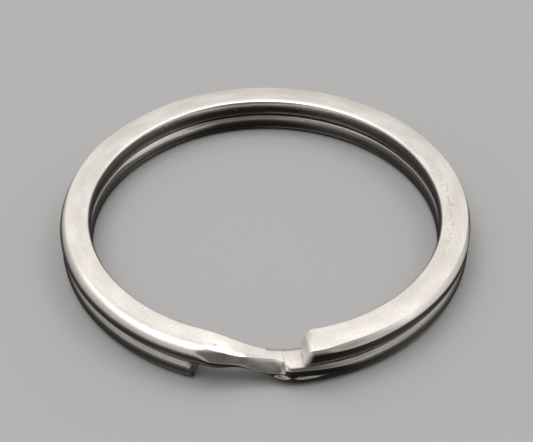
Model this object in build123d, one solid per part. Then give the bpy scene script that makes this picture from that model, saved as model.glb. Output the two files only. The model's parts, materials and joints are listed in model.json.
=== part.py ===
from build123d import *
from math import cos, pi, radians, sin
import os

# A 30 mm split key ring: one flattened spring wire wound 1.9 turns.
# The wire leaves its upper free end, makes the upper coil, steps down through the crank, makes the
# lower coil and stops at its lower free end. It is modelled as named stretches of that wire.
# Origin: centre of the ring, on the surface it lies on. +Z is the ring's axis, and the crank is at -Y.
# An azimuth is measured in degrees from the front (-Y), positive towards +X.

# Driving dimensions, in millimetres
OUTER_DIAMETER = 30.0
WIRE_WIDTH = 2.23
WIRE_THICKNESS = 1.42
FLAT_WIDTH = 1.6
COIL_GAP = 0.08
END_ROUNDING = 0.12

# The coils' free ends and the crank between them, in degrees
UPPER_END = 10.5
LOWER_END = 341.0
CRANK_START = -18.0
CRANK_FOOT = 4.5
CRANK_END = 6.0

# How the wire is pressed in the crank: thinner, and pushed in from its outer side
CRANK_THICKNESS = 0.84
CRANK_PUSHED_IN = 0.42
THINNING_START = -15.0
THINNEST_FROM = -3.0
THINNEST_TO = -2.0
FULL_AGAIN = 6.0

# Small springing-up of the wire: past the crank's foot, and at the upper free end
FOOT_LIFT = 0.138
FOOT_SETTLES = 26.0
TIP_LIFT = 0.276
TIP_SETTLES = 80.0

# Flexures: each coil is cut at three places, where a hinge joins two stretches
FLEXURES_PER_COIL = 3
FLEXURE_GAP = 0.04

MEAN_RADIUS = (OUTER_DIAMETER - WIRE_WIDTH) / 2
SIDE_BULGE = (WIRE_WIDTH - FLAT_WIDTH) / 2
LOWER_TOP = WIRE_THICKNESS
UPPER_TOP = 2 * WIRE_THICKNESS + COIL_GAP
FULL_TURN = 360.0
HALF_GAP = FLEXURE_GAP / 2 / MEAN_RADIUS * 180 / pi
SECTION_STEP = 4.0


def ease(value, start, stop):
    """0 before start, 1 after stop, and an S-curve between them."""
    share = min(1.0, max(0.0, (value - start) / (stop - start)))
    return share * share * (3 - 2 * share)


def lower_top(azimuth):
    """Height of the lower coil's top face: it comes off the crank's foot a little high."""
    return LOWER_TOP + FOOT_LIFT * (1 - ease(azimuth, CRANK_FOOT, FOOT_SETTLES))


def upper_top(azimuth):
    """Height of the upper coil's top face: its free end springs up a little."""
    share = max(0.0, (TIP_SETTLES - azimuth) / (TIP_SETTLES - UPPER_END))
    return UPPER_TOP + TIP_LIFT * share**2


def crank_top(azimuth):
    """Height of the crank's top face, from the upper coil down to the lower one."""
    drop = UPPER_TOP - lower_top(CRANK_FOOT)
    return lower_top(azimuth) + drop * (1 - ease(azimuth, CRANK_START, CRANK_FOOT))


def crank_thickness(azimuth):
    """Thickness of the crank, which is pressed thinner in the middle."""
    thin = ease(azimuth, THINNING_START, THINNEST_FROM) - ease(azimuth, THINNEST_TO, FULL_AGAIN)
    return WIRE_THICKNESS - (WIRE_THICKNESS - CRANK_THICKNESS) * thin


def full_thickness(azimuth):
    """The coils keep the wire's own thickness all round."""
    return WIRE_THICKNESS


def wire_section(azimuth, top, thickness):
    """The flattened wire's section at an azimuth: two flats joined by bulging sides.

    Where the wire is pressed thinner, its outer side is pushed in by the same share.
    """
    pressed = (WIRE_THICKNESS - thickness) / (WIRE_THICKNESS - CRANK_THICKNESS)
    half_flat = FLAT_WIDTH / 2
    outer_flat = half_flat - CRANK_PUSHED_IN * pressed
    half_height = thickness / 2
    outer = EllipticalCenterArc((outer_flat, 0), SIDE_BULGE, half_height, -90, arc_size=180)
    upper = Line((outer_flat, half_height), (-half_flat, half_height))
    inner = EllipticalCenterArc((-half_flat, 0), SIDE_BULGE, half_height, 90, arc_size=180)
    lower = Line((-half_flat, -half_height), (outer_flat, -half_height))
    turn = radians(azimuth)
    outward = Vector(sin(turn), -cos(turn), 0)
    centre = outward * MEAN_RADIUS + Vector(0, 0, top - half_height)
    along = Vector(cos(turn), sin(turn), 0)
    plane = Plane(origin=centre, x_dir=outward, z_dir=-along)
    return plane * make_face([outer, upper, inner, lower])


def level_stretch(start, stop, top):
    """A stretch of coil that lies level, turned about the ring's axis."""
    return revolve(wire_section(start, top, WIRE_THICKNESS), Axis.Z, stop - start)


def shaped_stretch(start, stop, top, thickness):
    """A stretch of wire whose height or thickness changes with its azimuth."""
    count = max(2, round((stop - start) / SECTION_STEP))
    stations = [start + (stop - start) * step / count for step in range(count + 1)]
    return loft([wire_section(at, top(at), thickness(at)) for at in stations])


def rounded_end(stretch, azimuth, height):
    """Rounds the edges of a free end's cut face, as tumbling leaves them."""
    turn = radians(azimuth)
    centre = Vector(MEAN_RADIUS * sin(turn), -MEAN_RADIUS * cos(turn), height)
    face = stretch.faces().filter_by(GeomType.PLANE).sort_by_distance(centre)[0]
    return fillet(face.edges(), END_ROUNDING)


def flexures(start, stop):
    """Azimuths of the cuts that divide a coil into equal stretches."""
    stretches = FLEXURES_PER_COIL + 1
    return [start + (stop - start) * cut / stretches for cut in range(1, stretches)]


def upper_coil():
    """The upper coil, from its free end round to the crank."""
    right, back, left = flexures(UPPER_END, FULL_TURN + CRANK_START)
    tip = shaped_stretch(UPPER_END, right - HALF_GAP, upper_top, full_thickness)
    return {
        "upper_coil_front_right": rounded_end(tip, UPPER_END, UPPER_TOP - WIRE_THICKNESS / 2),
        "upper_coil_back_right": level_stretch(right + HALF_GAP, back - HALF_GAP, UPPER_TOP),
        "upper_coil_back_left": level_stretch(back + HALF_GAP, left - HALF_GAP, UPPER_TOP),
        "upper_coil_front_left": level_stretch(left + HALF_GAP, FULL_TURN + CRANK_START, UPPER_TOP),
    }


def crank():
    """The pressed step that carries the wire from the upper coil to the lower one."""
    return {"crank": shaped_stretch(CRANK_START, CRANK_END, crank_top, crank_thickness)}


def lower_coil():
    """The lower coil, from the crank round to its free end."""
    right, back, left = flexures(CRANK_END, LOWER_END)
    tip = level_stretch(left + HALF_GAP, LOWER_END, LOWER_TOP)
    return {
        "lower_coil_front_right": shaped_stretch(CRANK_END, right - HALF_GAP, lower_top, full_thickness),
        "lower_coil_back_right": level_stretch(right + HALF_GAP, back - HALF_GAP, LOWER_TOP),
        "lower_coil_back_left": level_stretch(back + HALF_GAP, left - HALF_GAP, LOWER_TOP),
        "lower_coil_front_left": rounded_end(tip, LOWER_END, LOWER_TOP - WIRE_THICKNESS / 2),
    }


nodes = {**upper_coil(), **crank(), **lower_coil()}
os.makedirs("parts", exist_ok=True)
for name, shape in nodes.items():
    export_step(shape, f"parts/{name}.step")
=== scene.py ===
import json
from math import cos, pi, radians, sin

import bpy
import numpy as np
from mathutils import Matrix, Vector


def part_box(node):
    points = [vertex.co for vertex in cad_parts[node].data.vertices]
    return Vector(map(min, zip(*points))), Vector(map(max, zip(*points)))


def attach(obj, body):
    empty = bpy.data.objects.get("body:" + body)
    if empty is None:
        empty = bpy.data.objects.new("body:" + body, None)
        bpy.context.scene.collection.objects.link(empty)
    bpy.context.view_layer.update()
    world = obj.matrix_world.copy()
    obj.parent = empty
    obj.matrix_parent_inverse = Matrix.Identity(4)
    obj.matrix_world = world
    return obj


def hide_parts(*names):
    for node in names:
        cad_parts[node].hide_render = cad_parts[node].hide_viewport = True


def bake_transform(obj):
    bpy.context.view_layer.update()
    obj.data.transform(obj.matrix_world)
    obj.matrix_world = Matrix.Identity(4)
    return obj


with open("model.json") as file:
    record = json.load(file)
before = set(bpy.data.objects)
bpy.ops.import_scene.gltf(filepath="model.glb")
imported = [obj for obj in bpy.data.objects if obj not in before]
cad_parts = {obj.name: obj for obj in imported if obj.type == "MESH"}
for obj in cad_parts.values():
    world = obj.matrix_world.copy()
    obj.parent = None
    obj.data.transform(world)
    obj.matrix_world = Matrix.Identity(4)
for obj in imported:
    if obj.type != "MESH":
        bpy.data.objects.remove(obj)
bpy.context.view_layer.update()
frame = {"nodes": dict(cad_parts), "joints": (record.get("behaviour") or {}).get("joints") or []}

# A split key ring: one flattened spring wire wound almost twice, with a pressed step (the crank)
# between its two coils. The CAD stretches of that wire are replaced by finely shaped pieces of it.
#
# Places along the wire are given as its turn, in degrees: it starts at the upper free end, counts
# anticlockwise from the front (-Y) through the upper coil, reaches 360 in the middle of the crank,
# and runs on through the lower coil. A section's own axes are x, outwards from the middle of the
# wire, and z, upwards. Lengths are millimetres until a mesh is made.

MM = 0.001
FULL_TURN = 360.0

# The turn in the middle of the crank, at the front, and the upper coil's turn at the back
FRONT = FULL_TURN
BACK = 180.0


# ---------------------------------------------------------------- sizes, read from the frame

def node_points(node):
    """A CAD node's vertices, in millimetres."""
    vertices = frame["nodes"][node].data.vertices
    flat = np.empty(len(vertices) * 3)
    vertices.foreach_get("co", flat)
    return flat.reshape(-1, 3) / MM


def azimuths(points):
    """Degrees round the ring from the front, positive towards +X."""
    return np.degrees(np.arctan2(points[:, 0], -points[:, 1]))


def top_of(node):
    """Height of a CAD node's highest point."""
    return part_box(node)[1].z / MM


def cut_turns(coil, first_turn):
    """The turns at which a coil's three hinges cut the wire, from right to left."""
    hinges = [f"{coil}_{place}" for place in ("right_flexure", "end_opening", "left_flexure")]
    places = {joint["name"]: joint["pos_m"] for joint in frame["joints"]}
    return azimuths(np.array([places[hinge] for hinge in hinges])) % FULL_TURN + first_turn


RADII = np.hypot(*node_points("upper_coil_back_left")[:, :2].T)
MEAN_RADIUS = (RADII.max() + RADII.min()) / 2
HALF_WIDTH = (RADII.max() - RADII.min()) / 2
MM_PER_DEGREE = MEAN_RADIUS * pi / 180

LOWER_TOP = top_of("lower_coil_back_left")
UPPER_TOP = top_of("upper_coil_back_left")
THICKNESS = LOWER_TOP
TIP_LIFT = top_of("upper_coil_front_right") - UPPER_TOP
FOOT_LIFT = top_of("lower_coil_front_right") - LOWER_TOP

UPPER_END = azimuths(node_points("upper_coil_front_right")).min()
CRANK_START = azimuths(node_points("crank")).min() + FRONT
CRANK_END = azimuths(node_points("crank")).max() + FRONT
LOWER_END = azimuths(node_points("lower_coil_front_left")).max() + FRONT + FULL_TURN
UPPER_CUTS = cut_turns("upper", 0)
LOWER_CUTS = cut_turns("lower", FRONT)


# ---------------------------------------------------------------- curves

def ease(value, start, stop):
    """0 before start, 1 after stop, and an S-curve between them."""
    share = np.clip((value - start) / (stop - start), 0, 1)
    return share * share * (3 - 2 * share)


def between(first, second, share):
    """first where share is 0, second where it is 1."""
    return first + (second - first) * share


def middle(low, high):
    """The value halfway between two others."""
    return (low + high) / 2


def beyond(value, limit):
    """How far a value is past a limit, and 0 before it."""
    return np.clip(value - limit, 0, None)


def bump(value, centre, width):
    """A bell curve of height 1."""
    return np.exp(-(((value - centre) / width) ** 2))


def soft_minimum(first, second, softness):
    """The smaller of two values, with the change from one to the other rounded off."""
    return (first + second - np.sqrt((first - second) ** 2 + softness**2)) / 2


# ---------------------------------------------------------------- height and thickness of the wire

# Where the crank's top reaches the lower coil, where that coil settles after it, and where the
# upper free end's springing-up starts
CRANK_FOOT = FRONT + 4.5
FOOT_SETTLES = FRONT + 26
TIP_SETTLES = 80.0

# The wire is pressed thin in the crank
THIN = 0.84
THINNING = (FRONT - 15, FRONT - 3)
THICKENING = (FRONT - 2, FRONT + 6)

# The press ends at a crease across the wire. Past it a facet runs on under the upper free end.
CREASE = FRONT + 4.85
CREASE_WIDTH = 0.35
FACET_FADES = (FRONT + 11, FRONT + 26)

# The slight unevenness of wound wire: size in millimetres, waves in a turn, and phase
WANDER = ((0.009, 2.3, 0.7), (0.006, 5.1, 2.1), (0.003, 11, 0))


def top_height(turn):
    """Height of the middle of the wire's top face."""
    lower = LOWER_TOP + FOOT_LIFT * (1 - ease(turn, CRANK_FOOT, FOOT_SETTLES))
    step = (UPPER_TOP - LOWER_TOP - FOOT_LIFT) * (1 - ease(turn, CRANK_START, CRANK_FOOT))
    tip = TIP_LIFT * (beyond(TIP_SETTLES - turn, 0) / (TIP_SETTLES - UPPER_END)) ** 2
    return lower + step + tip


def thickness(turn):
    """Thickness of the wire, from its bottom face to the middle of its top face."""
    return between(THICKNESS, THIN, ease(turn, *THINNING) - ease(turn, *THICKENING))


def past_crease(turn):
    """0 in the upper coil and the crank, 1 from the crease on."""
    return ease(turn, CREASE, CREASE + CREASE_WIDTH)


def on_facet(turn):
    """1 on the facet past the crease, fading out along the lower coil."""
    return past_crease(turn) * (1 - ease(turn, *FACET_FADES))


def wander(turn):
    """How far the wire strays from its true path."""
    angle = np.radians(turn)
    return sum(size * np.sin(waves * angle + phase) for size, waves, phase in WANDER)


# ---------------------------------------------------------------- top and bottom flats

# From the middle of the wire to the edges of its bottom flat and of the lower coil's top flat
BOTTOM_FLAT = 0.70
LOWER_FLAT = 0.70

# To the upper coil's outer top edge: crisp at the cut and from the right round the back, bevelled at
# the right front, and broad and round at the left front
CRISP_FLAT = 0.95
BEVELLED_FLAT = 0.77
ROUND_FLAT = 0.42
BEVEL_WIDENS = (14, 22)
END_BEVEL_FADES = (65, 100)
LEFT_ROUNDS = (240, 300)

# To the crank's outer top edge. It tapers along the start of the crank, narrows in the middle, and
# widens again towards the crease.
CRANK_FLAT = 0.30
CRANK_TAPER = 0.036
TAPER_STOPS = FRONT - 7
CRANK_FLAT_BEGINS = (FRONT - 19, FRONT - 12)
CRANK_NARROWS = (FRONT - 8, FRONT + 1)
NARROWER_BY = 0.38
CRANK_WIDENS = (FRONT + 2, CREASE)
WIDER_BY = 0.25

# To the facet's outer top edge, which crosses the wire on a slant just past the crease
FACET_FLAT = 0.83
FACET_SLANTS = (CREASE - 1, CREASE + 1.8)
SLANTED_IN_BY = 0.95

# To the inner top edge. A stretch of the lower coil, at the back left, has a rounder one.
INNER_FLAT = 0.90
ROUNDER_INNER_FLAT = 0.60
INNER_ROUNDS = (556, 572)
INNER_CRISPS = (588, 606)


def outer_flat(turn):
    """Distance from the middle of the wire to the outer edge of its top flat."""
    right_front = ease(turn, *BEVEL_WIDENS) * (1 - ease(turn, *END_BEVEL_FADES))
    coil = between(between(CRISP_FLAT, BEVELLED_FLAT, right_front), ROUND_FLAT, ease(turn, *LEFT_ROUNDS))
    pressed = CRANK_FLAT + CRANK_TAPER * beyond(TAPER_STOPS - turn, 0)
    pressed = pressed - NARROWER_BY * ease(turn, *CRANK_NARROWS) + WIDER_BY * ease(turn, *CRANK_WIDENS)
    crank = between(coil, pressed, ease(turn, *CRANK_FLAT_BEGINS))
    facet = FACET_FLAT - SLANTED_IN_BY * (1 - ease(turn, *FACET_SLANTS))
    lower = between(LOWER_FLAT, facet, on_facet(turn))
    return between(crank, lower, past_crease(turn))


def inner_flat(turn):
    """Distance from the middle of the wire to the inner edge of its top flat."""
    rounder = ease(turn, *INNER_ROUNDS) * (1 - ease(turn, *INNER_CRISPS))
    return between(INNER_FLAT, ROUNDER_INNER_FLAT, rounder)


# ---------------------------------------------------------------- outer side

# The crank's outer side is pushed in. The metal it displaced bulges out as a ledge, low on the side
# and further along. PUSHED_OUT gives back most of the pushing-in, and the ledge's fading the rest.
CRANK_SIDE = 0.66
PUSHING_IN = (FRONT - 15, FRONT - 6)
PUSHED_OUT = (FRONT + 3.5, FRONT + 7)
PUSHED_OUT_SHARE = 0.7
LEDGE_SIDE = 0.86
LEDGE_TOP = 0.88
LEDGE_HEIGHT = 0.28
LEDGE_BEGINS = (FRONT - 3, FRONT + 5)
LEDGE_WIDENS = (FRONT + 1, FRONT + 10)
LEDGE_FADES = (FRONT + 8, FRONT + 22)

# The outer shoulder is a slightly rounded bevel in three places: from the upper free end round the
# right front, in the crank, and on the facet. Each depth is how far down the side it reaches.
BEVEL_CURVE = 0.22
BEVEL_SOFTNESS = 0.03
END_BEVEL_DEPTH = 0.40
RIGHT_BEVEL_DEPTH = 0.28
END_BEVEL_RISES = (25, 42)
CRANK_BEVEL_DEPTH = 0.64
CRANK_BEVEL_BEGINS = (FRONT - 19, FRONT - 10)
FACET_BEVEL_DEPTH = 0.22


def outer_side(turn, rise):
    """Distance from the middle of the wire to its outer side, above and below the ledge."""
    released = between(ease(turn, *LEDGE_FADES), ease(turn, *PUSHED_OUT), PUSHED_OUT_SHARE)
    upper = between(HALF_WIDTH, CRANK_SIDE, ease(turn, *PUSHING_IN) - released)
    lower = between(LEDGE_SIDE, HALF_WIDTH, ease(turn, *LEDGE_WIDENS))
    height = top_height(turn) - thickness(turn) / 2 * (1 - rise)
    on_ledge = ease(turn, *LEDGE_BEGINS) * ease(LEDGE_TOP - height, 0, LEDGE_HEIGHT)
    return between(upper, lower, on_ledge)


def bevelled(turn):
    """How much the outer shoulder is a bevel: 0 is round."""
    crank = ease(turn, *CRANK_BEVEL_BEGINS) * (1 - past_crease(turn))
    return 1 - ease(turn, *END_BEVEL_FADES) + crank + on_facet(turn)


def bevel_depth(turn):
    """How far down from the top face the bevel reaches."""
    upper_coil = between(END_BEVEL_DEPTH, RIGHT_BEVEL_DEPTH, ease(turn, *END_BEVEL_RISES))
    crank = between(CRANK_BEVEL_DEPTH, FACET_BEVEL_DEPTH, past_crease(turn))
    return np.where(turn > BACK, crank, upper_coil)


# ---------------------------------------------------------------- relief of the top face

# How fast the top face falls away on both sides of its middle, and how its inner edge rolls off at
# the back of the upper coil
CROWN = 0.022
ROLL_FROM = 0.62
ROLL_OFF = 0.58
ROLL_REACH = 62

# The groove of the crease fades towards the outer side. The facet past it leans slightly inwards.
CREASE_DEPTH = 0.035
CREASE_FADES = (0.1, 0.6)
FACET_LEAN = radians(-2.5)

# The outer part of the crank's top leans outwards as a strip, wider further along
STRIP_BEGINS = (FRONT - 18, FRONT - 12)
STRIP_FADES = (FRONT - 8, FRONT - 4.5)
STRIP_SLOPE = 0.36
STRIP_EDGE = 0.04
STRIP_TAPER = 0.022
STRIP_TAPER_STOPS = FRONT - 6
STRIP_SOFTNESS = 0.08

# Shallow marks the press left in the crank's top, with painted shade: turn, x, length, width, depth
PRESS_MARKS = (
    (FRONT - 17.2, 0.20, 0.26, 0.07, 0.004),
    (FRONT - 13.6, 0.06, 0.34, 0.10, 0.007),
    (FRONT - 8.7, -0.26, 0.30, 0.07, 0.004),
)


def roll_off(turn, x):
    """How far the inner edge of the top drops towards the hole."""
    return ROLL_OFF * bump(turn, BACK, ROLL_REACH) * beyond(-x, ROLL_FROM) ** 2


def crease(turn, x):
    """Depth of the groove across the wire where the pressed crank ends."""
    return CREASE_DEPTH * bump(turn, CREASE, CREASE_WIDTH / 2) * (1 - ease(x, *CREASE_FADES))


def leaning_strip(turn, x):
    """How far the outer part of the crank's top leans down towards its bevel."""
    share = ease(turn, *STRIP_BEGINS) * (1 - ease(turn, *STRIP_FADES))
    past_edge = beyond(x, STRIP_EDGE + STRIP_TAPER * beyond(STRIP_TAPER_STOPS - turn, 0))
    return STRIP_SLOPE * share * past_edge**2 / (past_edge + STRIP_SOFTNESS)


def press_marks(turn, x):
    """How far the press marks go into the top face."""
    return sum(
        depth * bump((turn - place) * MM_PER_DEGREE, 0, length / 2) * bump(x, offset, width)
        for place, offset, length, width, depth in PRESS_MARKS
    )


def top_relief(turn, x):
    """How far the top face lies below its highest line."""
    shape = CROWN * x**2 + np.tan(FACET_LEAN) * on_facet(turn) * x
    return shape + press_marks(turn, x) + crease(turn, x) + roll_off(turn, x) + leaning_strip(turn, x)


# ---------------------------------------------------------------- section of the wire

# The runs of points round a section, and how many points each one has
BOTTOM, OUTER, TOP, INNER = range(4)
RUN_POINTS = {BOTTOM: 10, OUTER: 44, TOP: 36, INNER: 44}
AROUND = sum(RUN_POINTS.values())
RUN = np.repeat(list(RUN_POINTS), list(RUN_POINTS.values()))
PLACE = np.concatenate([np.arange(count) / count for count in RUN_POINTS.values()])

# On the two sides, a point's angle round the side; and every point's rise, from -1 at the bottom
# face to 1 at the top face
ANGLE = pi * (PLACE - 0.5)
RISE = np.select([RUN == BOTTOM, RUN == OUTER, RUN == TOP], [-1, np.sin(ANGLE), 1], -np.sin(ANGLE))
ON_TOP = np.clip(RISE, 0, 1)

# The top face strays up and down by a share of the wire's wander, out of step with it
TOP_WANDER = 0.3
TOP_WANDER_SHIFT = 40


def outer_bottom_flat(turn):
    """Distance from the middle of the wire to the outer edge of its bottom flat."""
    return outer_side(turn, -1) - (HALF_WIDTH - BOTTOM_FLAT)


def outer_profile(turn):
    """x along the outer side: a quarter ellipse to each flat, or a bevel in place of the upper one."""
    side = outer_side(turn, RISE)
    top_edge = outer_flat(turn)
    flat_edge = np.where(RISE > 0, top_edge, outer_bottom_flat(turn))
    rounded = between(flat_edge, side, np.cos(ANGLE))
    down = np.clip((1 - RISE) * thickness(turn) / 2 / bevel_depth(turn), 0, 1)
    flattened = between(top_edge, side, down + BEVEL_CURVE * down * (1 - down))
    flattened = soft_minimum(flattened, np.where(RISE > 0, side, rounded), BEVEL_SOFTNESS)
    return between(rounded, flattened, bevelled(turn))


def inner_profile(turn):
    """x along the inner side, a quarter ellipse to each flat."""
    flat_edge = np.where(RISE > 0, inner_flat(turn), BOTTOM_FLAT)
    return -between(flat_edge, HALF_WIDTH, np.cos(ANGLE))


def section(turn):
    """x and z of the points round the wire's section at each turn, as two (turns, points) arrays."""
    turn = np.asarray(turn, float)[:, None]
    bottom_flat = between(-BOTTOM_FLAT, outer_bottom_flat(turn), PLACE)
    top_flat = between(outer_flat(turn), -inner_flat(turn), PLACE)
    x = np.select(
        [RUN == BOTTOM, RUN == OUTER, RUN == TOP],
        [bottom_flat, outer_profile(turn), top_flat],
        inner_profile(turn),
    )
    plain = top_height(turn) - thickness(turn) / 2 * (1 - RISE)
    strays = TOP_WANDER * wander(2 * turn + TOP_WANDER_SHIFT)
    return x + wander(turn), plain + ON_TOP * (strays - top_relief(turn, x))


# ---------------------------------------------------------------- rings of points along the wire

# Degrees between rings, and the part of the wire where they are close together
COARSE_STEP = 0.6
FINE_STEP = 0.1
FINE_ZONE = (FRONT - 20, FRONT + 12)

# The cut free ends: their edges are rounded, and each cut leans over the first END_ZONE of the wire
END_RADIUS = 0.18
END_ZONE = 1.8
ROUNDING_RINGS = 14
END_RINGS = 22

# The inner top corner of a section, as a direction from its middle in degrees, and how far along
# the edge it is rounded
INNER_CORNER = 135
CORNER_REACH = 45

# The cut face is closed by shrinking outlines, sunk a little and marked by lines of shear. The bare
# metal fades out between two depths.
CAP_SCALES = (0.06, 0.25, 0.45, 0.62, 0.78, 0.9)
CUT_HOLLOW = 0.02
SHEAR_DEPTHS = (0.012, 0.010)
CUT_FADES = (0.05, 0.4)


def plain_turns(start, stop):
    """Turns from start to stop, close together in the crank."""
    corners = [start] + [edge for edge in FINE_ZONE if start < edge < stop] + [stop]
    turns = [np.array([start])]
    for low, high in zip(corners, corners[1:]):
        fine = FINE_ZONE[0] <= middle(low, high) <= FINE_ZONE[1]
        count = max(1, round((high - low) / (FINE_STEP if fine else COARSE_STEP)))
        turns.append(np.linspace(low, high, count + 1)[1:])
    return np.concatenate(turns)


def plain_rings(start, stop):
    """A stretch of wire: every point's turn, x, z and how much it is bare cut metal."""
    turns = plain_turns(start, stop)
    x, z = section(turns)
    return turns[:, None] + np.zeros_like(x), x, z, np.zeros_like(x)


def outward_normals(x, z):
    """Unit normals of the sections, from the points before and after each point."""
    along_x = np.roll(x, -1, 1) - np.roll(x, 1, 1)
    along_z = np.roll(z, -1, 1) - np.roll(z, 1, 1)
    length = np.hypot(along_x, along_z)
    return along_z / length, -along_x / length


def edge_inset(depth, x, z, corner_radius):
    """How far a free end's rounded edge lies inside the plain section, by depth from the cut face."""
    above = (z - z.mean(1, keepdims=True)) / (THICKNESS / 2)
    direction = np.degrees(np.arctan2(above, x / HALF_WIDTH))
    radius = END_RADIUS + corner_radius * bump(direction, INNER_CORNER, CORNER_REACH)
    return radius - np.sqrt(radius**2 - beyond(radius, depth) ** 2)


def cut_face(x, z):
    """Depth, x and z of the rings that close a cut end inside its last outline."""
    scales = np.array(CAP_SCALES)[:, None]
    x = between(x.mean(), x, scales)
    z = between(z.mean(), z, scales)
    shear_lines = SHEAR_DEPTHS[0] * np.sin(x * 23 + 2 * np.sin(z * 5))
    shear_lines = shear_lines + SHEAR_DEPTHS[1] * np.sin(z * 9 + x * 4)
    return (CUT_HOLLOW + shear_lines) * (1 - scales**6), x, z


def end_rings(end, inwards, lean, skew, corner_radius, bareness):
    """The rings of a cut free end, from the middle of its cut face to END_ZONE along the wire.

    inwards is +1 or -1: which way the turn goes from the end into the wire. lean is how much further
    back the top of the cut lies than its bottom, skew is the same for its outer and inner sides,
    corner_radius rounds the inner top corner, and bareness is how much of the cut metal is unplated.
    """
    biggest = END_RADIUS + corner_radius
    rounding = biggest * (1 - np.cos(np.linspace(0, pi / 2, ROUNDING_RINGS)))
    depth = np.concatenate([rounding, np.linspace(biggest, END_ZONE, END_RINGS)[1:]])
    x, z = section(end + inwards * depth / MM_PER_DEGREE)
    depth = depth[:, None] + np.zeros_like(x)
    normal_x, normal_z = outward_normals(x, z)
    inset = edge_inset(depth, x, z, corner_radius)
    x, z = x - inset * normal_x, z - inset * normal_z
    middle_x, middle_z = x[0].mean(), z[0].mean()
    face_depth, face_x, face_z = cut_face(x[0], z[0])
    depth = np.vstack([face_depth, depth])
    x = np.vstack([face_x, x])
    z = np.vstack([face_z, z])
    slant = lean * (z - middle_z) / THICKNESS + skew * (x - middle_x) / (2 * HALF_WIDTH)
    slanted = depth + slant * (1 - ease(depth, 0, END_ZONE))
    return end + inwards * slanted / MM_PER_DEGREE, x, z, bareness * (1 - ease(depth, *CUT_FADES))


def joined(first, second):
    """Two runs of rings that meet, with the ring they share kept once."""
    return tuple(np.vstack([a, b[1:]]) for a, b in zip(first, second))


def upper_end_rings(stop):
    """The upper coil's free end and the wire as far as stop: its cut leans back, its corner is round."""
    end = end_rings(UPPER_END, inwards=1, lean=0.36, skew=-0.22, corner_radius=0.34, bareness=1.0)
    return joined(end, plain_rings(UPPER_END + END_ZONE / MM_PER_DEGREE, stop))


def lower_end_rings(start):
    """The wire from start to the lower coil's free end, which is cut almost square."""
    end = end_rings(LOWER_END, inwards=-1, lean=0.12, skew=0.0, corner_radius=0.05, bareness=0.1)
    backwards = tuple(rows[::-1] for rows in end)
    return joined(plain_rings(start, LOWER_END - END_ZONE / MM_PER_DEGREE), backwards)


# ---------------------------------------------------------------- finish along the wire

# The left front's outer edge and the back's inner edge are polished. Widths are across the wire.
LEFT_POLISH_BEGINS = (FRONT - 75, FRONT - 40)
LEFT_POLISH_ENDS = (FRONT - 5, FRONT + 2)
LEFT_POLISH_WIDTH = 0.25
BACK_POLISH_REACH = 55
BACK_POLISH_X = -0.85
BACK_POLISH_WIDTH = 0.2

# A tarnish streak runs along the right, a stain lies behind the upper cut, and the press marks get
# painted shade in proportion to their depth
STREAK_BEGINS = (58, 72)
STREAK_ENDS = (100, 118)
STREAK_X = -0.3
STREAK_WIDTH = 0.26
STAIN = 0.7
STAIN_TURN = UPPER_END + 2.2
STAIN_LENGTH = 1.6
STAIN_X = -0.35
STAIN_WIDTH = 0.5
MARK_SHADE_PER_MM = 300

# Where the top face, the sides and the faces between the coils begin and end, as shares of the
# thickness from its middle, and where the edges of those faces lie, in millimetres across the wire
TOP_FACE = (0.3, 0.5)
SIDES = (0.34, 0.46)
# The faces between the coils get painted shade
GAP_FACES = (0.3, 0.45)
GAP_EDGES = (0.7, 0.82)


def polish_mask(turn, x):
    """Where the top's edges are polished."""
    left = ease(turn, *LEFT_POLISH_BEGINS) * (1 - ease(turn, *LEFT_POLISH_ENDS))
    left = left * bump(x, outer_flat(turn), LEFT_POLISH_WIDTH)
    back = bump(turn, BACK, BACK_POLISH_REACH) * bump(x, BACK_POLISH_X, BACK_POLISH_WIDTH)
    return left + back


def tarnish_and_mark_shade_mask(turn, x, on_top):
    """Where the metal is tarnished, the streak and the stain, and the press marks' painted shade."""
    streak = ease(turn, *STREAK_BEGINS) * (1 - ease(turn, *STREAK_ENDS)) * bump(x, STREAK_X, STREAK_WIDTH)
    stain = STAIN * bump(turn, STAIN_TURN, STAIN_LENGTH) * bump(x, STAIN_X, STAIN_WIDTH)
    # The press marks add painted shade in proportion to their depth
    return (streak + stain) * on_top + MARK_SHADE_PER_MM * press_marks(turn, x)


def finish_masks(turn, x, z, cut):
    """What the material needs to know about each point, as named values."""
    height = z - top_height(turn) + thickness(turn) / 2
    share = height / thickness(turn)
    on_top = ease(share, *TOP_FACE)
    facing_gap = np.where(turn < FRONT, height < 0, height > 0)
    return {
        "along": turn * MM_PER_DEGREE,
        "across": x,
        "height": height,
        "polish": np.clip(polish_mask(turn, x) * on_top, 0, 1),
        "tarnish_and_mark_shade": np.clip(tarnish_and_mark_shade_mask(turn, x, on_top), 0, 1),
        "sides": (1 - ease(np.abs(share), *SIDES)) * (1 - cut),
        # Painted shade on the faces that look into the gap between the coils
        "painted_gap_shade": ease(np.abs(share), *GAP_FACES) * ease(np.abs(x), *GAP_EDGES) * facing_gap,
        "cut": cut,
    }


# ---------------------------------------------------------------- material

NICKEL_DULL = (0.84, 0.793, 0.738, 1)
NICKEL_BRIGHT = (0.945, 0.907, 0.857, 1)
GRAIN_COLOUR = (0.70, 0.67, 0.64, 1)
SPECKLE_COLOUR = (0.66, 0.625, 0.575, 1)
PIT_COLOUR = (0.36, 0.33, 0.30, 1)
# Tarnish, which also colours the painted shade in the press marks
TARNISH_AND_SHADE_COLOUR = (0.44, 0.40, 0.34, 1)
# Painted shade between the coils
GAP_SHADE_COLOUR = (0.22, 0.20, 0.18, 1)
CUT_BRIGHT = (0.90, 0.88, 0.85, 1)
CUT_DULL = (0.66, 0.64, 0.61, 1)

# How rough the polished edges, the tarnished or cut metal, and the pits are
POLISHED_ROUGHNESS = 0.17
DULL_ROUGHNESS = 0.5
PIT_ROUGHNESS = 0.6
RELIEF_DEPTH = 0.006 * MM


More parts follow.
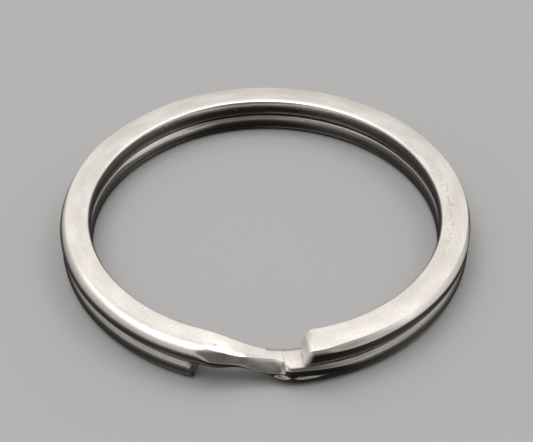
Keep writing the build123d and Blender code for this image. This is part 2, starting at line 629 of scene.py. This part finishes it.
class Nodes:
    """A short way to fill a node tree. Every method but add gives an output socket."""

    def __init__(self, owner):
        owner.use_nodes = True
        self.tree = owner.node_tree
        self.tree.nodes.clear()

    def add(self, kind, inputs=(), **settings):
        """Add a node, set its inputs and link what feeds it."""
        node = self.tree.nodes.new(kind)
        for key, value in settings.items():
            setattr(node, key, value)
        for key, value in dict(inputs).items():
            if isinstance(value, bpy.types.NodeSocket):
                self.tree.links.new(value, node.inputs[key])
            else:
                node.inputs[key].default_value = value
        return node

    def mask(self, name):
        """A value stored on the mesh's points."""
        return self.add("ShaderNodeAttribute", attribute_name=name).outputs["Fac"]

    def math(self, operation, *values):
        return self.add("ShaderNodeMath", dict(enumerate(values)), operation=operation).outputs[0]

    def wire_place(self, along, across, height):
        """Coordinates on the straightened wire, in millimetres times three factors."""
        factors = {"along": along, "across": across, "height": height}
        scaled = [self.math("MULTIPLY", self.mask(name), factor) for name, factor in factors.items()]
        return self.add("ShaderNodeCombineXYZ", dict(enumerate(scaled))).outputs[0]

    def noise(self, vector, scale=1.0, detail=3.0, roughness=0.6):
        inputs = {"Vector": vector, "Scale": scale, "Detail": detail, "Roughness": roughness}
        return self.add("ShaderNodeTexNoise", inputs).outputs["Fac"]

    def ramp(self, source, low, high, first=0.0, last=1.0):
        """An S-curve from first, where source is low, to last, where it is high."""
        inputs = {"Value": source, "From Min": low, "From Max": high, "To Min": first, "To Max": last}
        return self.add("ShaderNodeMapRange", inputs, interpolation_type="SMOOTHSTEP").outputs["Result"]

    def mix_colours(self, factor, first, second):
        inputs = {"Factor": factor, 6: first, 7: second}
        return self.add("ShaderNodeMix", inputs, data_type="RGBA").outputs[2]

    def mix_values(self, factor, first, second):
        inputs = {"Factor": factor, 2: first, 3: second}
        return self.add("ShaderNodeMix", inputs, data_type="FLOAT").outputs[0]


def pit_pattern(nodes):
    """Fine pits: the middles of a few cells."""
    inputs = {"Vector": nodes.wire_place(1, 1, 1), "Scale": 4.2, "Randomness": 1.0}
    cells = nodes.add("ShaderNodeTexVoronoi", inputs)
    choice = nodes.add("ShaderNodeSeparateColor", {"Color": cells.outputs["Color"]}).outputs[0]
    pits = nodes.ramp(cells.outputs["Distance"], 0.22, 0.08)
    return nodes.math("MULTIPLY", pits, nodes.ramp(choice, 0.72, 0.95))


def wire_colour(nodes, grain, speckle, clouds, pits):
    """Cloudy nickel with darker grain, speckle, pits and tarnish, painted shade in the press marks and
    between the coils, and bare metal at a cut.
    """
    specks = nodes.ramp(nodes.noise(nodes.wire_place(3.0, 9.0, 9.0)), 0.44, 0.62)
    # Tarnish, and painted shade in the press marks
    tarnish_and_mark_shade = nodes.math("MULTIPLY", nodes.mask("tarnish_and_mark_shade"), nodes.math("MULTIPLY_ADD", specks, 0.82, 0.18))
    layers = (
        (nodes.ramp(grain, 0.42, 0.7), 0.30, GRAIN_COLOUR),
        (nodes.ramp(speckle, 0.46, 0.68), 0.46, SPECKLE_COLOUR),
        (pits, 0.5, PIT_COLOUR),
        (tarnish_and_mark_shade, 0.7, TARNISH_AND_SHADE_COLOUR),
        # Painted shade where the coils face each other
        (nodes.mask("painted_gap_shade"), 0.6, GAP_SHADE_COLOUR),
    )
    colour = nodes.mix_colours(nodes.ramp(clouds, 0.35, 0.68), NICKEL_DULL, NICKEL_BRIGHT)
    for pattern, strength, layer_colour in layers:
        colour = nodes.mix_colours(nodes.math("MULTIPLY", pattern, strength), colour, layer_colour)
    cut_pattern = nodes.ramp(nodes.noise(nodes.wire_place(8, 2, 14)), 0.4, 0.65)
    cut_metal = nodes.mix_colours(cut_pattern, CUT_BRIGHT, CUT_DULL)
    return nodes.mix_colours(nodes.mask("cut"), colour, cut_metal)


def wire_roughness(nodes, grain, clouds, pits):
    """Satin that varies with the grain, smoother where polished and dull where tarnished, in the press
    marks or cut.
    """
    satin = nodes.math("MULTIPLY_ADD", grain, 0.16, 0.24)
    satin = nodes.math("MULTIPLY_ADD", clouds, 0.08, satin)
    smooth = nodes.math("MAXIMUM", nodes.mask("polish"), nodes.mask("sides"))
    dull = nodes.math("MAXIMUM", nodes.mask("tarnish_and_mark_shade"), nodes.mask("cut"))
    polished = nodes.mix_values(smooth, satin, POLISHED_ROUGHNESS)
    dulled = nodes.mix_values(dull, polished, DULL_ROUGHNESS)
    return nodes.math("MAXIMUM", dulled, nodes.math("MULTIPLY", pits, PIT_ROUGHNESS))


def wire_bump(nodes, grain, speckle, pits):
    """Raised grain and speckle, with sunken pits and scratches."""
    scratches = nodes.ramp(nodes.noise(nodes.wire_place(0.6, 26.0, 26.0), 1.0, 1.0, 0.4), 0.66, 0.72)
    relief = nodes.math("MULTIPLY_ADD", speckle, 0.5, nodes.math("MULTIPLY", grain, 0.7))
    relief = nodes.math("SUBTRACT", relief, nodes.math("MULTIPLY", pits, 1.2))
    relief = nodes.math("SUBTRACT", relief, nodes.math("MULTIPLY", scratches, 0.4))
    inputs = {"Height": relief, "Strength": 0.35, "Distance": RELIEF_DEPTH}
    return nodes.add("ShaderNodeBump", inputs).outputs[0]


def plated_wire_material():
    """Tumbled satin nickel: rolled grain along the wire, fine pits, cloudy patches, polished edges."""
    material = bpy.data.materials.new("plated_wire_satin_nickel")
    nodes = Nodes(material)
    grain = nodes.noise(nodes.wire_place(0.9, 14.0, 14.0))
    speckle = nodes.noise(nodes.wire_place(1.0, 1.0, 1.0), 9.0)
    clouds = nodes.noise(nodes.wire_place(0.35, 1.1, 1.1), 1.0, 2.0, 0.5)
    pits = pit_pattern(nodes)
    shader = nodes.add(
        "ShaderNodeBsdfPrincipled",
        {
            "Base Color": wire_colour(nodes, grain, speckle, clouds, pits),
            "Metallic": nodes.math("MULTIPLY_ADD", nodes.mask("cut"), -0.7, 1.0),
            "Roughness": wire_roughness(nodes, grain, clouds, pits),
            "Normal": wire_bump(nodes, grain, speckle, pits),
        },
    )
    nodes.add("ShaderNodeOutputMaterial", {"Surface": shader.outputs[0]})
    return material


# ---------------------------------------------------------------- pieces

# Edges sharper than this stay crisp in the shading
CRISP_EDGE = radians(33)


def wire_piece(name, rings, material):
    """A closed mesh of the wire through rings of points, with its finish stored on its points.

    Its faces are wound so that their normals point out of the metal.
    """
    turn, x, z, cut = rings
    angle = np.radians(turn)
    radius = MEAN_RADIUS + x
    points = np.stack([radius * np.sin(angle), -radius * np.cos(angle), z], -1).reshape(-1, 3) * MM
    rows = len(turn)
    first = np.arange(rows - 1)[:, None] * AROUND + np.arange(AROUND)
    beside = np.arange(rows - 1)[:, None] * AROUND + (np.arange(AROUND) + 1) % AROUND
    quads = np.stack([first, first + AROUND, beside + AROUND, beside], -1).reshape(-1, 4)
    caps = [list(range(AROUND)), list(range((rows - 1) * AROUND, rows * AROUND))[::-1]]
    mesh = bpy.data.meshes.new(name)
    mesh.from_pydata(points.tolist(), [], quads.tolist() + caps)
    mesh.update()
    for key, values in finish_masks(turn, x, z, cut).items():
        layer = mesh.attributes.new(key, "FLOAT", "POINT")
        layer.data.foreach_set("value", np.asarray(values, np.float32).ravel())
    mesh.shade_smooth()
    mesh.set_sharp_from_angle(angle=CRISP_EDGE)
    mesh.materials.append(material)
    piece = bpy.data.objects.new(name, mesh)
    bpy.context.scene.collection.objects.link(piece)
    return piece


def build_wire():
    """The wire in seven pieces that meet in the middle of the CAD's stretches; only the crank is attached
    to a body.
    """
    metal = plated_wire_material()
    tip_middle = middle(UPPER_END, UPPER_CUTS[0])
    upper_right = middle(UPPER_CUTS[0], UPPER_CUTS[1])
    upper_left = middle(UPPER_CUTS[1], UPPER_CUTS[2])
    before_crank = middle(UPPER_CUTS[2], CRANK_START)
    after_crank = middle(CRANK_END, LOWER_CUTS[0])
    lower_right = middle(LOWER_CUTS[0], LOWER_CUTS[1])
    lower_left = middle(LOWER_CUTS[1], LOWER_CUTS[2])
    last_middle = middle(LOWER_CUTS[2], LOWER_END)

    crank = wire_piece("wire_crank", plain_rings(before_crank, after_crank), metal)
    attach(crank, "crank_and_shoulders")
    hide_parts("upper_coil_front_left", "crank", "lower_coil_front_right")

    # Each other piece: its name, its rings, the turns between which it would bend and the bodies that it
    # would follow before and after the bend, which are not used, and the CAD stretch that it stands for
    bending = (
        ("wire_upper_free_end", upper_end_rings(upper_right), (tip_middle, upper_right),
         ("upper_front_right", "upper_back_right"), "upper_coil_front_right"),
        ("wire_upper_back", plain_rings(upper_right, upper_left), (upper_right, upper_left),
         ("upper_back_right", "upper_back_left"), "upper_coil_back_right"),
        ("wire_upper_left", plain_rings(upper_left, before_crank), (upper_left, before_crank),
         ("upper_back_left", "crank_and_shoulders"), "upper_coil_back_left"),
        ("wire_lower_right", plain_rings(after_crank, lower_right), (after_crank, lower_right),
         ("crank_and_shoulders", "lower_back_right"), "lower_coil_back_right"),
        ("wire_lower_back", plain_rings(lower_right, lower_left), (lower_right, lower_left),
         ("lower_back_right", "lower_back_left"), "lower_coil_back_left"),
        ("wire_lower_free_end", lower_end_rings(lower_left), (lower_left, last_middle),
         ("lower_back_left", "lower_front_left"), "lower_coil_front_left"),
    )
    for name, rings, (bend_from, bend_to), (body_before, body_after), node in bending:
        piece = wire_piece(name, rings, metal)
        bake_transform(piece)
        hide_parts(node)


# ---------------------------------------------------------------- the stage

# The floor's half size in metres, its colour, and the colour of its dark gloss in reflections
FLOOR_HALF_SIZE = 1.5
PALE = (0.42, 0.42, 0.42, 1)
DARK = (0.004, 0.004, 0.004, 1)

# The dome's strength on the horizon, how much it gains by the zenith, and the extra high up: its
# size, and the heights on a unit sphere between which it comes in
DOME_HORIZON = 0.4
DOME_GAIN = 0.3
DOME_EXTRA = 0.4
DOME_EXTRA_BEGINS = (0.5, 0.8)
DOME_COLOUR = (1.0, 0.985, 0.97, 1)

# The unlit side of the room, towards the camera and a little to its right, and the brighter side, at
# the right: direction, the cosines from it at which it begins and is full, and what it multiplies by
ROOM_SIDES = (
    (Vector((0.14, -0.75, 0.64)), 0.72, 0.96, 0.2),
    (Vector((0.82, 0.15, 0.55)), 0.86, 0.97, 1.4),
)


def floor_material():
    """Plain and pale to look at. The ring's own reflections of it are of a dark gloss surface."""
    material = bpy.data.materials.new("pale_floor")
    nodes = Nodes(material)
    pale = nodes.add("ShaderNodeBsdfDiffuse", {"Color": PALE})
    gloss = {"Base Color": DARK, "Roughness": 0.08, "Specular IOR Level": 0.3}
    reflected = nodes.add("ShaderNodeBsdfPrincipled", gloss)
    in_metal = nodes.add("ShaderNodeLightPath").outputs["Is Glossy Ray"]
    both = nodes.add("ShaderNodeMixShader", {0: in_metal, 1: pale.outputs[0], 2: reflected.outputs[0]})
    nodes.add("ShaderNodeOutputMaterial", {"Surface": both.outputs[0]})
    return material


def floor():
    """A plain pale floor under the ring."""
    half = FLOOR_HALF_SIZE
    mesh = bpy.data.meshes.new("floor")
    corners = [(-half, -half, 0), (half, -half, 0), (half, half, 0), (-half, half, 0)]
    mesh.from_pydata(corners, [], [(0, 1, 2, 3)])
    mesh.materials.append(floor_material())
    plane = bpy.data.objects.new("floor", mesh)
    bpy.context.scene.collection.objects.link(plane)


def soft_light(name, place, width, height, radiance):
    """A soft panel of light that faces the ring. radiance is how bright it looks; sizes are metres."""
    data = bpy.data.lights.new(name, "AREA")
    data.shape = "RECTANGLE"
    data.size, data.size_y = width, height
    data.energy = radiance * pi * width * height
    light = bpy.data.objects.new(name, data)
    light.location = place
    light.rotation_mode = "QUATERNION"
    light.rotation_quaternion = (-Vector(place)).to_track_quat("-Z", "Y")
    bpy.context.scene.collection.objects.link(light)


def soft_dome():
    """A soft white dome, brighter high up, with one dark side and one brighter side."""
    world = bpy.data.worlds.new("soft_dome")
    nodes = Nodes(world)
    direction = nodes.add("ShaderNodeTexCoord").outputs["Generated"]
    height = nodes.add("ShaderNodeSeparateXYZ", {0: direction}).outputs["Z"]
    extra = nodes.ramp(height, *DOME_EXTRA_BEGINS, 0.0, DOME_EXTRA)
    strength = nodes.math("ADD", extra, nodes.math("MULTIPLY_ADD", height, DOME_GAIN, DOME_HORIZON))
    for side, begins, full, factor in ROOM_SIDES:
        inputs = {0: direction, 1: side.normalized()}
        cosine = nodes.add("ShaderNodeVectorMath", inputs, operation="DOT_PRODUCT").outputs["Value"]
        strength = nodes.math("MULTIPLY", strength, nodes.ramp(cosine, begins, full, 1.0, factor))
    white = nodes.add("ShaderNodeBackground", {"Color": DOME_COLOUR, "Strength": strength})
    nodes.add("ShaderNodeOutputWorld", {"Surface": white.outputs[0]})
    bpy.context.scene.world = world


def studio():
    """The dome, and two brighter panels that the polished edges catch: overhead and at the back right."""
    soft_dome()
    soft_light("overhead_panel", (-0.10, 0.02, 0.40), 0.34, 0.24, 2.2)
    soft_light("right_panel", (0.18, 0.09, 0.34), 0.18, 0.14, 2.0)
    bpy.context.scene.view_settings.view_transform = "Standard"


# The photograph's viewpoint: straight from the front, 42 degrees above the floor. The point aimed at
# and the distance from it are in millimetres.
CAMERA_ELEVATION = radians(41.89)
CAMERA_DISTANCE = 79.12
CAMERA_AIM = (0.10, -1.85, 2.91)
CAMERA_ROLL = radians(-0.37)
CAMERA_LENS = 74.04
SENSOR_WIDTH = 36


def camera():
    """The camera, with a near clipping distance that suits a small object."""
    data = bpy.data.cameras.new("camera")
    data.sensor_width = SENSOR_WIDTH
    data.lens = CAMERA_LENS
    data.clip_start = 1 * MM
    back = Vector((0, -cos(CAMERA_ELEVATION), sin(CAMERA_ELEVATION)))
    right = Matrix.Rotation(CAMERA_ROLL, 3, back) @ Vector((1, 0, 0))
    view = bpy.data.objects.new("camera", data)
    turned = Matrix((right, back.cross(right), back)).transposed().to_4x4()
    place = (Vector(CAMERA_AIM) + back * CAMERA_DISTANCE) * MM
    view.matrix_world = Matrix.Translation(place) @ turned
    bpy.context.scene.collection.objects.link(view)
    bpy.context.scene.camera = view


build_wire()
floor()
studio()
camera()
